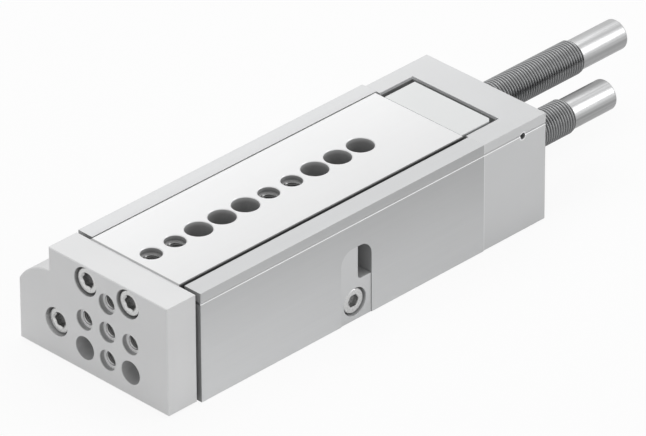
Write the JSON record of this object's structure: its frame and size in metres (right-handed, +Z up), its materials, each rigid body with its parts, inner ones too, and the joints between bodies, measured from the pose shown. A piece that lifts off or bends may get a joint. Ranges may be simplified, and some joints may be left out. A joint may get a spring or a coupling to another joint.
{
  "type": "pneumatic slide table",
  "caption": "Compact pneumatic slide table: roller-guided slide in a square housing, front yoke plate, side cylinder, and screw-in shock absorbers at the rear.",
  "frame": {"origin": "on the base plane, midway between the two through-bolt holes of the housing, below the slide's row of holes; 74 mm behind the yoke's front face with the slide retracted", "axes": "+Z up, out of the slide's top; the slide advances along -Y, the yoke's front face looks along -Y, the absorbers stand out along +Y; +X is the side with the stop block, -X the side with the cylinder and its ports"},
  "size_m": [0.0664, 0.234, 0.039],
  "materials": {
    "housing_aluminium": "extruded and clear anodised, fine lengthwise lines",
    "cap_aluminium": "milled and clear anodised, matte",
    "yoke_aluminium": "clear anodised, matte",
    "slide_metal": "ground flat, satin",
    "plate_aluminium": "milled, clear anodised",
    "block_metal": "milled, clear anodised",
    "bright_screw": "zinc plated",
    "guide_steel": "hardened and ground",
    "rod_steel": "hard chromed and ground",
    "thread_steel": "dark nickel, threaded",
    "tail_steel": "turned and bright",
    "bearing_bronze": "sintered bronze",
    "seal_rubber": "black sealing rubber",
    "cage_plastic": "glass-filled polymer",
    "magnet": "polymer-bonded ferrite"
  },
  "bodies": {
    "housing_unit": {"housing": "housing_aluminium", "end_cap": "cap_aluminium", "end_cap_screws": "bright_screw", "stop_block": "block_metal", "stop_block_screw": "bright_screw", "left_guide_rail": "guide_steel", "right_guide_rail": "guide_steel", "absorber_set_screw": "thread_steel", "rod_retaining_ring": "guide_steel", "rod_bearing": "bearing_bronze", "rod_seal": "seal_rubber", "cylinder_plug": "plate_aluminium", "plug_sealing_ring": "seal_rubber", "retract_absorber": "thread_steel", "retract_absorber_tail": "tail_steel"},
    "slide_unit": {"slide": "slide_metal", "slide_end_plate": "plate_aluminium", "end_plate_screws": "bright_screw", "yoke_plate": "yoke_aluminium", "yoke_to_slide_screws": "bright_screw", "piston_rod_screw": "bright_screw", "piston_rod": "rod_steel", "piston": "plate_aluminium", "piston_seal": "seal_rubber", "piston_magnet": "magnet", "piston_nut": "bright_screw", "advance_absorber": "thread_steel", "advance_absorber_tail": "tail_steel"},
    "roller_cages": {"left_roller_cage": "cage_plastic", "right_roller_cage": "cage_plastic", "left_guide_rollers": "guide_steel", "right_guide_rollers": "guide_steel"},
    "advance_plunger": {"advance_plunger_rod": "rod_steel", "advance_plunger_tip": "cage_plastic"},
    "retract_plunger": {"retract_plunger_rod": "rod_steel", "retract_plunger_tip": "cage_plastic"}
  },
  "joints": [
    {"name": "slide_travel", "type": "slide", "parent": "housing_unit", "child": "slide_unit", "axis": [0, -1, 0], "range_m": [0, 0.05]},
    {"name": "cage_travel", "type": "slide", "parent": "housing_unit", "child": "roller_cages", "axis": [0, -1, 0], "range_m": [0, 0.025]},
    {"name": "advance_plunger_travel", "type": "slide", "parent": "slide_unit", "child": "advance_plunger", "axis": [0, 1, 0], "range_m": [0, 0.01]},
    {"name": "retract_plunger_travel", "type": "slide", "parent": "housing_unit", "child": "retract_plunger", "axis": [0, -1, 0], "range_m": [0, 0.01]}
  ],
  "couplings": [
    {"joint": "cage_travel", "follows": "slide_travel", "ratio": 0.5},
    {"joint": "advance_plunger_travel", "follows": "slide_travel", "ratio": 0.2},
    {"joint": "retract_plunger_travel", "follows": "slide_travel", "ratio": 0.2}
  ]
}
